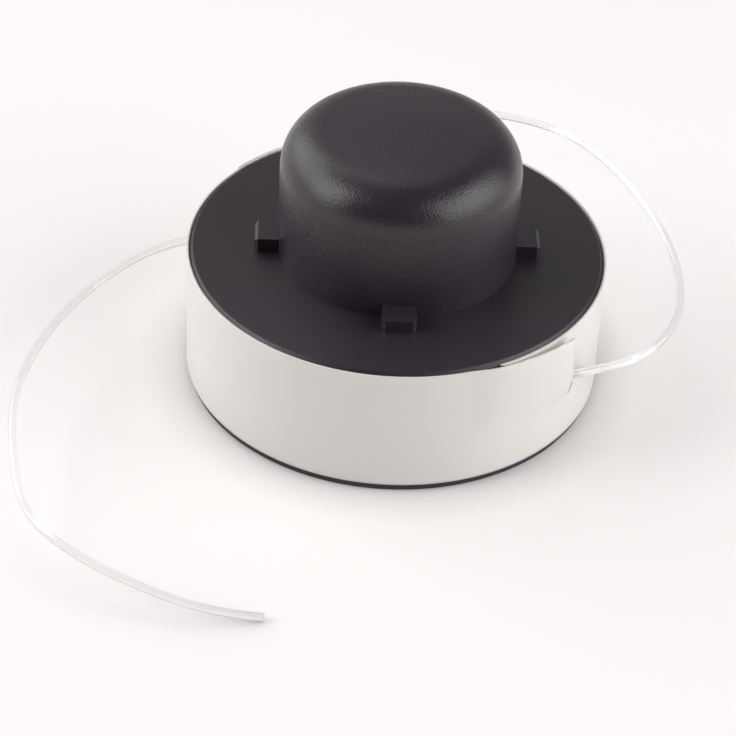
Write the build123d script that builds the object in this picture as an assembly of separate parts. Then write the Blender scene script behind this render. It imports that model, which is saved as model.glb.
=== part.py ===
"""Trimmer line spool: a moulded spool with a bump knob, two wound lines and a slit wrap band.

Frame: origin at the centre of the lower flange's underside, +Z up the spool's axis.
Units are millimetres and degrees.
"""

import math
import os

from build123d import *

# Spool moulding
flange_radius = 39.0
flange_thickness = 2.0
flange_edge_break = 0.2
upper_rim_break = 0.7  # along the upper flange's top edge, which stands clear of the band
stack_height = 26.8  # underside of the lower flange to the top of the upper flange
knob_radius = 22.4  # also the hub that the line is wound on
knob_top = 53.8
crown_rise = 2.0  # how much the knob's top face bulges over its full width
shoulder_round = 8.4
wall = 2.0
inner_shoulder_break = 3.8

# Spindle guide inside the knob
spindle_bore_radius = 5.0
guide_wall = 2.2
guide_mouth = 9.0  # height of the guide's open lower end

# Indexing lugs: outside on the upper flange, inside at the hub's mouth
lug_count = 4
lug_width = 6.2
lug_height = 3.0
lug_reach = 4.3  # radially out from the knob
lug_edge_break = 0.6
upper_lug_angle = -87.8
inner_lug_reach = 2.8
inner_lug_height = 4.0
lug_root = 0.8  # how deep a lug runs into the wall that carries it

# Trimmer line
line_diameter = 1.5
line_count = 2
winding_radius = 29.0
winding_gap = 0.05  # between the winding and the moulding
tail_height = 14.0
tail_floor_gap = 0.05
tail_seat_gap = 0.05  # between a tail and the winding that it leaves

# Wrap band
band_thickness = 0.4
band_gap = 0.05  # between the band and the flanges' rims
band_bottom = 1.6
band_top_drop = 0.35  # below the top of the upper flange
slit_width = 0.6
slit_bottom = 10.8
slit_angles = (-32.3, 147.7)
slit_line_gap = 0.3  # round the line where it passes through the slit


def arc_point(center, radius, angle):
    return (center[0] + radius * math.cos(angle), center[1] + radius * math.sin(angle))


def knob_crown():
    """The shoulder and crown of the knob's half section, tangent to the wall and to each other."""
    crown_radius = (knob_radius**2 + crown_rise**2) / (2 * crown_rise)
    crown_center = (0, knob_top - crown_radius)
    inset = knob_radius - shoulder_round
    meet_angle = math.acos(inset / (crown_radius - shoulder_round))
    shoulder_center = arc_point(crown_center, crown_radius - shoulder_round, meet_angle)
    wall_top = (knob_radius, shoulder_center[1])
    meet = arc_point(shoulder_center, shoulder_round, meet_angle)
    shoulder = ThreePointArc(wall_top, arc_point(shoulder_center, shoulder_round, meet_angle / 2), meet)
    crown_middle = arc_point(crown_center, crown_radius, (meet_angle + math.pi / 2) / 2)
    crown = ThreePointArc(meet, crown_middle, (0, knob_top))
    return wall_top, [shoulder.edge(), crown.edge()]


def flange_rim(bottom, top_break):
    """The half section of one flange's rim, from its lower face to its upper face."""
    top = bottom + flange_thickness
    return [
        (flange_radius - flange_edge_break, bottom),
        (flange_radius, bottom + flange_edge_break),
        (flange_radius, top - top_break),
        (flange_radius - top_break, top),
    ]


def spool_section():
    """Half section of the whole moulding without its lugs."""
    wall_top, crown = knob_crown()
    cavity_radius = knob_radius - wall
    cavity_top = knob_top - crown_rise - wall
    guide_radius = spindle_bore_radius + guide_wall
    upper_flange = stack_height - flange_thickness
    outside = Polyline(
        (cavity_radius, 0),
        *flange_rim(0, flange_edge_break),
        (knob_radius, flange_thickness),
        (knob_radius, upper_flange),
        *flange_rim(upper_flange, upper_rim_break),
        (knob_radius, stack_height),
        wall_top,
    )
    inside = Polyline(
        (0, knob_top),
        (0, cavity_top),
        (spindle_bore_radius, cavity_top),
        (spindle_bore_radius, guide_mouth),
        (guide_radius, guide_mouth),
        (guide_radius, cavity_top),
        (cavity_radius - inner_shoulder_break, cavity_top),
        (cavity_radius, cavity_top - inner_shoulder_break),
        (cavity_radius, 0),
    )
    return Plane.XZ * make_face([*outside.edges(), *crown, *inside.edges()])


def lug(inner_radius, outer_radius, bottom, height):
    """A block that stands along +X between two radii."""
    return Pos(inner_radius, 0, bottom) * Box(
        outer_radius - inner_radius, lug_width, height, align=(Align.MIN, Align.CENTER, Align.MIN)
    )


def upper_lug():
    inner_radius = knob_radius - lug_root
    block = lug(inner_radius, knob_radius + lug_reach, stack_height - lug_root, lug_height + lug_root)
    outer = block.faces().sort_by(Axis.X)[-1]
    return chamfer(outer.edges().filter_by(Axis.Z) + outer.edges().sort_by(Axis.Z)[-1:], lug_edge_break)


def inner_lug():
    cavity_radius = knob_radius - wall
    return lug(cavity_radius - inner_lug_reach, cavity_radius + lug_root, 0, inner_lug_height)


def spool_body():
    body = revolve(spool_section(), Axis.Z)
    pitch = 360 / lug_count
    for index in range(lug_count):
        body += Rot(0, 0, upper_lug_angle + pitch * index) * upper_lug()
        body += Rot(0, 0, upper_lug_angle + pitch * (index + 0.5)) * inner_lug()
    return body


def line_winding():
    """Both lines on the hub: they lie side by side, so each pair of turns shows as one ridge."""
    bottom = flange_thickness + winding_gap
    top = stack_height - flange_thickness - winding_gap
    turns = int((top - bottom) / (line_count * line_diameter))
    pitch = (top - bottom) / turns
    valley = winding_radius - line_diameter / 2
    inside = knob_radius + winding_gap
    points = [(inside, bottom), (valley, bottom)]
    for turn in range(turns):
        points.append((winding_radius, bottom + pitch * (turn + 0.5)))
        points.append((valley, bottom + pitch * (turn + 1)))
    points.append((inside, top))
    return revolve(Plane.XZ * make_face(Polyline(*points, close=True)), Axis.Z)


def tail_start(angle):
    """Where a tail lies on the winding, just before it runs off straight."""
    radius = winding_radius + line_diameter / 2 + tail_seat_gap
    return (radius * math.cos(math.radians(angle)), radius * math.sin(math.radians(angle)), tail_height)


tail_floor = line_diameter / 2 + tail_floor_gap
front_tail_route = [
    tail_start(-69.5),
    (23.2, -23.5, tail_height),
    (36.4, -18.8, tail_height),
    (47.4, -13.6, tail_height),
    (54.3, -2.0, tail_height),
    (55.7, 11.6, tail_height),
    (53.7, 25.2, tail_height),
    (49.3, 38.4, tail_height),
    (43.2, 51.2, tail_height),
    (34.6, 62.0, tail_height),
    (22.6, 67.2, tail_height),
    (10.0, 68.0, tail_height),
    (-1.6, 66.4, tail_height),
]
back_tail_route = [
    tail_start(110.5),
    (-23.2, 23.5, tail_height),
    (-36.4, 18.8, tail_height),
    (-47.4, 13.9, 13.4),
    (-55.6, 4.4, 13.2),
    (-62.2, -7.4, 13.1),
    (-66.6, -20.4, 13.0),
    (-68.4, -34.0, 12.8),
    (-66.8, -47.6, 11.6),
    (-63.2, -61.6, 9.6),
    (-53.4, -69.2, 7.4),
    (-41.0, -74.2, 5.0),
    (-28.8, -76.8, 2.6),
    (-20.0, -75.4, tail_floor),
]


def corner_radii(route):
    """As large an arc at each corner as its two runs allow."""
    points = [Vector(*point) for point in route]
    radii = []
    for before, corner, after in zip(points, points[1:], points[2:]):
        turn = math.radians((corner - before).get_angle(after - corner))
        shorter = min((corner - before).length, (after - corner).length)
        radii.append(0.45 * shorter / math.tan(turn / 2))
    return radii


def line_tail(route, diameter=line_diameter):
    path = FilletPolyline(*route, radius=corner_radii(route))
    section = Plane(origin=path @ 0, z_dir=path % 0) * Circle(diameter / 2)
    return sweep(section, path)


def wrap_band():
    inside = flange_radius + band_gap
    height = stack_height - band_top_drop - band_bottom
    ring = Cylinder(inside + band_thickness, height, align=(Align.CENTER, Align.CENTER, Align.MIN))
    ring -= Cylinder(inside, height, align=(Align.CENTER, Align.CENTER, Align.MIN))
    band = Pos(0, 0, band_bottom) * ring
    slit = Pos(inside - band_thickness, 0, slit_bottom) * Box(
        3 * band_thickness, slit_width, stack_height, align=(Align.MIN, Align.CENTER, Align.MIN)
    )
    for angle in slit_angles:
        band -= Rot(0, 0, angle) * slit
    for route in (front_tail_route, back_tail_route):
        band -= line_tail(route[:4], line_diameter + 2 * slit_line_gap)
    return band


parts = {
    "spool_body": spool_body(),
    "line_winding": line_winding(),
    "front_line_tail": line_tail(front_tail_route),
    "back_line_tail": line_tail(back_tail_route),
    "wrap_band": wrap_band(),
}

os.makedirs("parts", exist_ok=True)
for name, shape in parts.items():
    export_step(shape, f"parts/{name}.step")

for name, route in (("front", front_tail_route), ("back", back_tail_route)):
    path = FilletPolyline(*route, radius=corner_radii(route))
    swept = parts[f"{name}_line_tail"].volume / (math.pi * line_diameter**2 / 4)
    print(name, "tail length", round(path.length, 1), "volume over section", round(swept, 1))
    print(name, "tail radii", [round(radius, 1) for radius in corner_radii(route)])
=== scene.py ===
import math

import bpy
from mathutils import Matrix, Vector


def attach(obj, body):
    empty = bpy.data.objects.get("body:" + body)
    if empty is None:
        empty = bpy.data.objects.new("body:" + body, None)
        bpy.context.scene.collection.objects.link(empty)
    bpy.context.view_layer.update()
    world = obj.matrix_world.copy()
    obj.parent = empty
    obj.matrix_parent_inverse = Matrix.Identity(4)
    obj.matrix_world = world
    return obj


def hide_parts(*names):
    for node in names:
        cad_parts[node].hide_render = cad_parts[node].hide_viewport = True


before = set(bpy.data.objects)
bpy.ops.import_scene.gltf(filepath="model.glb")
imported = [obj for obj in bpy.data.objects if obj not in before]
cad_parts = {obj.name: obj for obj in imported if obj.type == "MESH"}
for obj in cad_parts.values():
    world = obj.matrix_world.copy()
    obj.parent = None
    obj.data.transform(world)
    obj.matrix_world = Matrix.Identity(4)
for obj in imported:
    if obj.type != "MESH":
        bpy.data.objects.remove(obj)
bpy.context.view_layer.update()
mm = 0.001
print("frame loaded")


def linear(code):
    channels = [int(code[i : i + 2], 16) / 255 for i in (1, 3, 5)]
    return tuple(c / 12.92 if c <= 0.04045 else ((c + 0.055) / 1.055) ** 2.4 for c in channels) + (1.0,)


def smooth(value):
    value = min(max(value, 0.0), 1.0)
    return value * value * (3 - 2 * value)


def addNode(tree, kind, settings=None, links=None):
    node = tree.nodes.new(kind)
    for name, value in (settings or {}).items():
        if hasattr(node, str(name)):
            setattr(node, name, value)
        else:
            node.inputs[name].default_value = value
    for name, source in (links or {}).items():
        tree.links.new(source, node.inputs[name])
    return node


def newMaterial(name):
    material = bpy.data.materials.new(name)
    material.use_nodes = True
    material.node_tree.nodes.clear()
    return material, material.node_tree


def addObject(name, data):
    made = bpy.data.objects.new(name, data)
    bpy.context.scene.collection.objects.link(made)
    return made


def addMesh(name, points, faces, material):
    mesh = bpy.data.meshes.new(name)
    mesh.from_pydata(points, [], faces)
    mesh.polygons.foreach_set("use_smooth", [True] * len(mesh.polygons))
    mesh.materials.append(material)
    return addObject(name, mesh)


camera = {
    "lens": 136.957,
    "sensor": 36,
    "clipStart": 0.01,
    "elevation": 38.043,
    "roll": 2.975,
    "distance": 0.5428,
    "right": -4.237 * mm,
    "up": -1.963 * mm,
}


def placeCamera():
    elevation = math.radians(camera["elevation"])
    roll = math.radians(camera["roll"])
    back = Vector((0, -math.cos(elevation), math.sin(elevation)))
    level = Vector((1, 0, 0))
    rise = Vector((0, math.sin(elevation), math.cos(elevation)))
    right = math.cos(roll) * level + math.sin(roll) * rise
    up = -math.sin(roll) * level + math.cos(roll) * rise
    place = back * camera["distance"] + level * camera["right"] + rise * camera["up"]
    data = bpy.data.cameras.new("camera")
    data.lens = camera["lens"]
    data.sensor_width = camera["sensor"]
    data.clip_start = camera["clipStart"]
    made = addObject("camera", data)
    made.matrix_world = Matrix.Translation(place) @ Matrix((right, up, back)).transposed().to_4x4()
    bpy.context.scene.camera = made


placeCamera()
print("camera placed")


# moulded polypropylene: satin black, grained so the knob's highlights break up, shallower on the flanges
moulding = {
    "colour": "#2c252d",
    "grain": 0.4 * mm,
    "grainDepth": 0.08 * mm,
    "flangeGrain": 0.25,  # share of that depth on the flanges
    "knobFrom": 27.4 * mm,
    "knobBlend": 0.3 * mm,
    "knobRoughness": 0.3,
    "flangeRoughness": 0.42,
    "wear": 9 * mm,  # size of the patches where the roughness drifts
    "wearSpread": 0.04,
    "ior": 1.46,
}


def mouldedPolypropylene():
    material, tree = newMaterial("moulded black polypropylene, fine grain")
    place = addNode(tree, "ShaderNodeNewGeometry")
    grain = addNode(
        tree,
        "ShaderNodeTexNoise",
        {"Scale": 1 / moulding["grain"], "Detail": 2.0, "Roughness": 0.6},
        {"Vector": place.outputs["Position"]},
    )
    wear = addNode(
        tree,
        "ShaderNodeTexNoise",
        {"Scale": 1 / moulding["wear"], "Detail": 3.0, "Roughness": 0.6},
        {"Vector": place.outputs["Position"]},
    )
    axes = addNode(tree, "ShaderNodeSeparateXYZ", None, {"Vector": place.outputs["Position"]})
    knobFrom, blend = moulding["knobFrom"], moulding["knobBlend"]
    onKnob = addNode(
        tree,
        "ShaderNodeMapRange",
        {"From Min": knobFrom - blend, "From Max": knobFrom + blend},
        {"Value": axes.outputs["Z"]},
    )
    roughness = addNode(
        tree,
        "ShaderNodeMapRange",
        {"To Min": moulding["flangeRoughness"], "To Max": moulding["knobRoughness"]},
        {"Value": onKnob.outputs["Result"]},
    )
    spread = moulding["wearSpread"]
    worn = addNode(
        tree,
        "ShaderNodeMapRange",
        {"From Min": 0.3, "From Max": 0.7, "To Min": -spread, "To Max": spread},
        {"Value": wear.outputs["Fac"]},
    )
    uneven = addNode(
        tree,
        "ShaderNodeMath",
        {"operation": "ADD"},
        {0: roughness.outputs["Result"], 1: worn.outputs["Result"]},
    )
    strength = addNode(
        tree,
        "ShaderNodeMapRange",
        {"To Min": moulding["flangeGrain"], "To Max": 1.0},
        {"Value": onKnob.outputs["Result"]},
    )
    bump = addNode(
        tree,
        "ShaderNodeBump",
        {"Distance": moulding["grainDepth"]},
        {"Height": grain.outputs["Fac"], "Strength": strength.outputs["Result"]},
    )
    surface = addNode(
        tree,
        "ShaderNodeBsdfPrincipled",
        {"Base Color": linear(moulding["colour"]), "IOR": moulding["ior"]},
        {"Roughness": uneven.outputs["Value"], "Normal": bump.outputs["Normal"]},
    )
    addNode(tree, "ShaderNodeOutputMaterial", None, {"Surface": surface.outputs["BSDF"]})
    return material


# extruded nylon: clear and a little cloudy, so a tail shows as faint edges round a pale core
nylon = {"colour": "#ffffff", "transmission": 0.88, "roughness": 0.05, "ior": 1.53}


def nylonMonofilament():
    material, tree = newMaterial("extruded nylon monofilament, translucent")
    surface = addNode(
        tree,
        "ShaderNodeBsdfPrincipled",
        {
            "Base Color": linear(nylon["colour"]),
            "Roughness": nylon["roughness"],
            "IOR": nylon["ior"],
            "Transmission Weight": nylon["transmission"],
        },
    )
    addNode(tree, "ShaderNodeOutputMaterial", None, {"Surface": surface.outputs["BSDF"]})
    return material


# white polyethylene strip: soft satin white that glows a little where light comes through from behind
film = {
    "colour": "#f0ede9",
    "through": "#efe9e1",
    "throughShare": 0.25,
    "roughness": 0.38,
    "roughnessSpread": 0.06,
    "cloud": 7 * mm,  # size of the patches where the gloss drifts
    "ior": 1.51,
}


def polyethyleneStrip():
    material, tree = newMaterial("white polyethylene strip, satin")
    place = addNode(tree, "ShaderNodeNewGeometry")
    cloud = addNode(
        tree,
        "ShaderNodeTexNoise",
        {"Scale": 1 / film["cloud"], "Detail": 2.0},
        {"Vector": place.outputs["Position"]},
    )
    spread = film["roughnessSpread"]
    roughness = addNode(
        tree,
        "ShaderNodeMapRange",
        {"To Min": film["roughness"] - spread, "To Max": film["roughness"] + spread},
        {"Value": cloud.outputs["Fac"]},
    )
    surface = addNode(
        tree,
        "ShaderNodeBsdfPrincipled",
        {"Base Color": linear(film["colour"]), "IOR": film["ior"]},
        {"Roughness": roughness.outputs["Result"]},
    )
    glow = addNode(tree, "ShaderNodeBsdfTranslucent", {"Color": linear(film["through"])})
    both = addNode(
        tree,
        "ShaderNodeMixShader",
        {0: film["throughShare"]},
        {1: surface.outputs["BSDF"], 2: glow.outputs["BSDF"]},
    )
    addNode(tree, "ShaderNodeOutputMaterial", None, {"Surface": both.outputs["Shader"]})
    return material


plastic = mouldedPolypropylene()
line = nylonMonofilament()
white = polyethyleneStrip()
for node, material in (("spool_body", plastic), ("line_winding", line), ("wrap_band", white)):
    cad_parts[node].data.materials.clear()
    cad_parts[node].data.materials.append(material)
print("materials made")


tails = {
    "diameter": 1.5 * mm,
    "roundness": 6,
    "steps": 16,  # between two points of a route
    "front_line_tail": [
        (10.437, -27.914, 14.0),
        (23.2, -23.5, 14.0),
        (36.4, -18.8, 14.0),
        (47.4, -13.6, 14.0),
        (54.3, -2.0, 14.0),
        (55.7, 11.6, 14.0),
        (53.7, 25.2, 14.0),
        (49.3, 38.4, 14.0),
        (43.2, 51.2, 14.0),
        (34.6, 62.0, 14.0),
        (22.6, 67.2, 14.0),
        (10.0, 68.0, 14.0),
        (-1.6, 66.4, 14.0),
    ],
    "back_line_tail": [
        (-10.437, 27.914, 14.0),
        (-23.2, 23.5, 14.0),
        (-36.4, 18.8, 14.0),
        (-47.4, 13.9, 13.4),
        (-55.6, 4.4, 13.2),
        (-62.2, -7.4, 13.1),
        (-66.6, -20.4, 13.0),
        (-68.4, -34.0, 12.8),
        (-66.8, -47.6, 11.6),
        (-63.2, -61.6, 9.6),
        (-53.4, -69.2, 7.4),
        (-41.0, -74.2, 5.0),
        (-28.8, -76.8, 2.6),
        (-20.0, -75.4, 0.8),
    ],
    "lengths": {"front_line_tail": 158.8 * mm, "back_line_tail": 168.4 * mm},
}


def lineTail(node):
    route = tails[node]
    side = node.split("_")[0]
    curve = bpy.data.curves.new(side + "LineTail", "CURVE")
    curve.dimensions = "3D"
    curve.bevel_depth = tails["diameter"] / 2
    curve.bevel_resolution = tails["roundness"]
    curve.use_fill_caps = True
    curve.resolution_u = tails["steps"]
    spline = curve.splines.new("NURBS")
    spline.points.add(len(route) - 1)
    for point, (x, y, z) in zip(spline.points, route):
        point.co = (x * mm, y * mm, z * mm, 1)
    spline.order_u = 3
    spline.use_endpoint_u = True
    spline.use_smooth = True
    curve.materials.append(line)
    made = addObject(curve.name, curve)
    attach(made, "root")
    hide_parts(node)


for node in ("front_line_tail", "back_line_tail"):
    lineTail(node)
print("line tails laid")


band = {
    "inside": 39.05 * mm,
    "thickness": 0.4 * mm,
    "bottom": 1.6 * mm,
    "top": 26.45 * mm,
    "slitBottom": 10.8 * mm,
    "halves": [(-33.5, 0.0), (146.5, 1.65 * mm)],  # slit each half starts at, how far its end springs out
    "overlap": 0.45 * mm,  # the loose lip lies this far out over the tucked one
    "lipArc": 36.0,  # how far round from the slit the loose lip bends out
    "bendCurve": 1.15,
    "springCurve": 0.8,  # how the bend grows up the lip
    "pull": 4.0,  # how far the loose lip's upper corner draws back from the slit
    "pullCurve": 1.3,
    "tuck": 27.0,  # how far the other lip slides under it at the upper edge
    "open": 3.1,  # the bare slit under the line
    "openSpread": 0.45,
    "lipParts": 8,  # a lip's slant fades out over one part of its half in this many
    "lineHeight": 14.0 * mm,  # where the line presses the tucked lip in
    "dip": 3.4 * mm,
    "dipArc": 8.0,
    "dipCurve": 1.3,
    "dipAbove": 3.5 * mm,
    "dipBelow": 1.3 * mm,
    "wave": 0.06 * mm,
    "weld": 0.01 * mm,
    "columns": 160,
    "rows": 51,
}


def bandPoint(half, share, height):
    slit, spring = half
    bottom, low, top = band["bottom"], band["slitBottom"], band["top"]
    lineHeight, parts, lipArc = band["lineHeight"], band["lipParts"], band["lipArc"]
    halfTurn = 180
    up = max(0.0, (height - low) / (top - low))
    start = -band["tuck"] * smooth((height - lineHeight) / (top - lineHeight) * 0.5) * 2
    away = (height - 0.5 * (low + lineHeight)) / (band["openSpread"] * (lineHeight - low))
    start += band["open"] * math.exp(-(away**2))
    start *= (1 - smooth(share * parts)) if up else 0
    drawn = band["pull"] * up ** band["pullCurve"] * smooth(share * parts - (parts - 1))
    angle = start + halfTurn * share - drawn
    fromEnd = halfTurn * (1 - share)
    lift = band["overlap"] * smooth(3 * up) * smooth((lipArc - fromEnd) / (lipArc - band["tuck"]))
    lift += spring * up ** band["springCurve"] * max(0.0, 1 - fromEnd / lipArc) ** band["bendCurve"]
    dip = band["dip"] * max(0.0, 1 - angle / band["dipArc"]) ** band["dipCurve"] if up else 0
    reach = band["dipAbove"] if height > lineHeight else band["dipBelow"]
    dip *= math.exp(-(((height - lineHeight) / reach) ** 2))
    turn = math.radians(slit + angle)
    between = math.sin(math.pi * (height - bottom) / (top - bottom))
    ripples = math.sin(5 * turn + 1) + math.sin(9 * turn + 2.6 * height / top)
    wave = band["wave"] * between * ripples
    radius = band["inside"] + lift - dip + wave
    return (radius * math.cos(turn), radius * math.sin(turn), height)


def wrapBand():
    columns, rows = band["columns"], band["rows"]
    heights = [band["bottom"] + (band["top"] - band["bottom"]) * r / rows for r in range(rows + 1)]
    points, faces = [], []
    for half in band["halves"]:
        first = len(points)
        for column in range(columns + 1):
            points.extend(bandPoint(half, column / columns, height) for height in heights)
        for column in range(columns):
            for row in range(rows):
                a = first + column * (rows + 1) + row
                faces.append((a, a + rows + 1, a + rows + 2, a + 1))
    made = addMesh("wrapBand", points, faces, white)
    weld = made.modifiers.new("join below the slits", "WELD")
    weld.merge_threshold = band["weld"]
    skin = made.modifiers.new("strip thickness", "SOLIDIFY")
    skin.thickness = band["thickness"]
    skin.offset = 1
    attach(made, "root")
    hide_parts("wrap_band")


wrapBand()
print("wrap band wound")


studio = {
    "floor": "#f7f4f3",
    "floorSide": 3.0,
    "floorHeight": -0.02 * mm,  # just clear of the lower flange, so the two faces do not flicker
    "paintedShadeReach": 10 * mm,  # painted contact shade: the floor's glow darkens this near to the object, where its shadow is deepest
    "floorGlow": 0.4,  # how much of the floor's paleness the eye sees without its shadow
    "walls": "#fffdfd",
    "backWall": 0.46,
    "frontWall": 0.0,  # the open side of the tent, where the camera stands
    "brightSide": (-0.5, 0.87, 0.0),  # the tent is brightest behind the object, to its left
    "fade": (-0.25, 0.9),  # where the walls are darkest and brightest along that way
    "lampDistance": 1.0,
    "lamps": {
        "leftBackBox": {"azimuth": 150, "elevation": 30, "width": 0.78, "height": 0.75, "power": 4.9},
        "leftFrontBox": {"azimuth": 195, "elevation": 30, "width": 0.45, "height": 0.8, "power": 5.8},
        "rightFrontBox": {"azimuth": -28, "elevation": 26, "width": 0.75, "height": 0.8, "power": 7.0},
        "rightBackBox": {"azimuth": 4, "elevation": 26, "width": 0.536, "height": 0.8, "power": 3.8},
        "topBox": {"azimuth": 115, "elevation": 66, "width": 0.6, "height": 0.6, "power": 1.0},
    },
}


def buildStudio():
    material, tree = newMaterial("pale matte floor")
    colour = linear(studio["floor"])
    matte = addNode(tree, "ShaderNodeBsdfDiffuse", {"Color": colour})
    # painted contact shade: ambient occlusion darkens the floor colour that the glow shows near the object
    paintedShade = addNode(
        tree,
        "ShaderNodeAmbientOcclusion",
        {"Color": colour, "Distance": studio["paintedShadeReach"]},
    )
    pale = addNode(tree, "ShaderNodeEmission", None, {"Color": paintedShade.outputs["Color"]})
    path = addNode(tree, "ShaderNodeLightPath")
    seen = path.outputs["Is Camera Ray"]
    for kind in ("Is Glossy Ray", "Is Transmission Ray"):
        either = addNode(tree, "ShaderNodeMath", {"operation": "MAXIMUM"}, {0: seen, 1: path.outputs[kind]})
        seen = either.outputs[0]
    share = addNode(tree, "ShaderNodeMath", {"operation": "MULTIPLY", 1: studio["floorGlow"]}, {0: seen})
    surface = addNode(
        tree,
        "ShaderNodeMixShader",
        None,
        {0: share.outputs[0], 1: matte.outputs["BSDF"], 2: pale.outputs["Emission"]},
    )
    addNode(tree, "ShaderNodeOutputMaterial", None, {"Surface": surface.outputs["Shader"]})
    side, height = studio["floorSide"], studio["floorHeight"]
    signs = ((-1, -1), (1, -1), (1, 1), (-1, 1))
    corners = [(side * x, side * y, height) for x, y in signs]
    floor = addMesh("floor", corners, [(0, 1, 2, 3)], material)
    world = bpy.data.worlds.new("studio")
    bpy.context.scene.world = world
    world.use_nodes = True
    tree = world.node_tree
    tree.nodes.clear()
    way = addNode(tree, "ShaderNodeTexCoord")
    bright = addNode(
        tree,
        "ShaderNodeVectorMath",
        {"operation": "DOT_PRODUCT", 1: studio["brightSide"]},
        {0: way.outputs["Generated"]},
    )
    level = addNode(
        tree,
        "ShaderNodeMapRange",
        {
            "From Min": studio["fade"][0],
            "From Max": studio["fade"][1],
            "To Min": studio["frontWall"],
            "To Max": studio["backWall"],
        },
        {"Value": bright.outputs["Value"]},
    )
    tent = addNode(
        tree,
        "ShaderNodeBackground",
        {"Color": linear(studio["walls"])},
        {"Strength": level.outputs["Result"]},
    )
    addNode(tree, "ShaderNodeOutputWorld", None, {"Surface": tent.outputs["Background"]})
    for name, lamp in studio["lamps"].items():
        data = bpy.data.lights.new(name, "AREA")
        data.shape = "RECTANGLE"
        data.size = lamp["width"]
        data.size_y = lamp["height"]
        data.energy = lamp["power"]
        made = addObject(name, data)
        azimuth, elevation = math.radians(lamp["azimuth"]), math.radians(lamp["elevation"])
        flat = math.cos(elevation)
        towards = Vector((flat * math.cos(azimuth), flat * math.sin(azimuth), math.sin(elevation)))
        made.location = towards * studio["lampDistance"]
        made.rotation_euler = towards.to_track_quat("Z", "Y").to_euler()


buildStudio()
bpy.context.scene.view_settings.view_transform = "Standard"
print("studio lit")
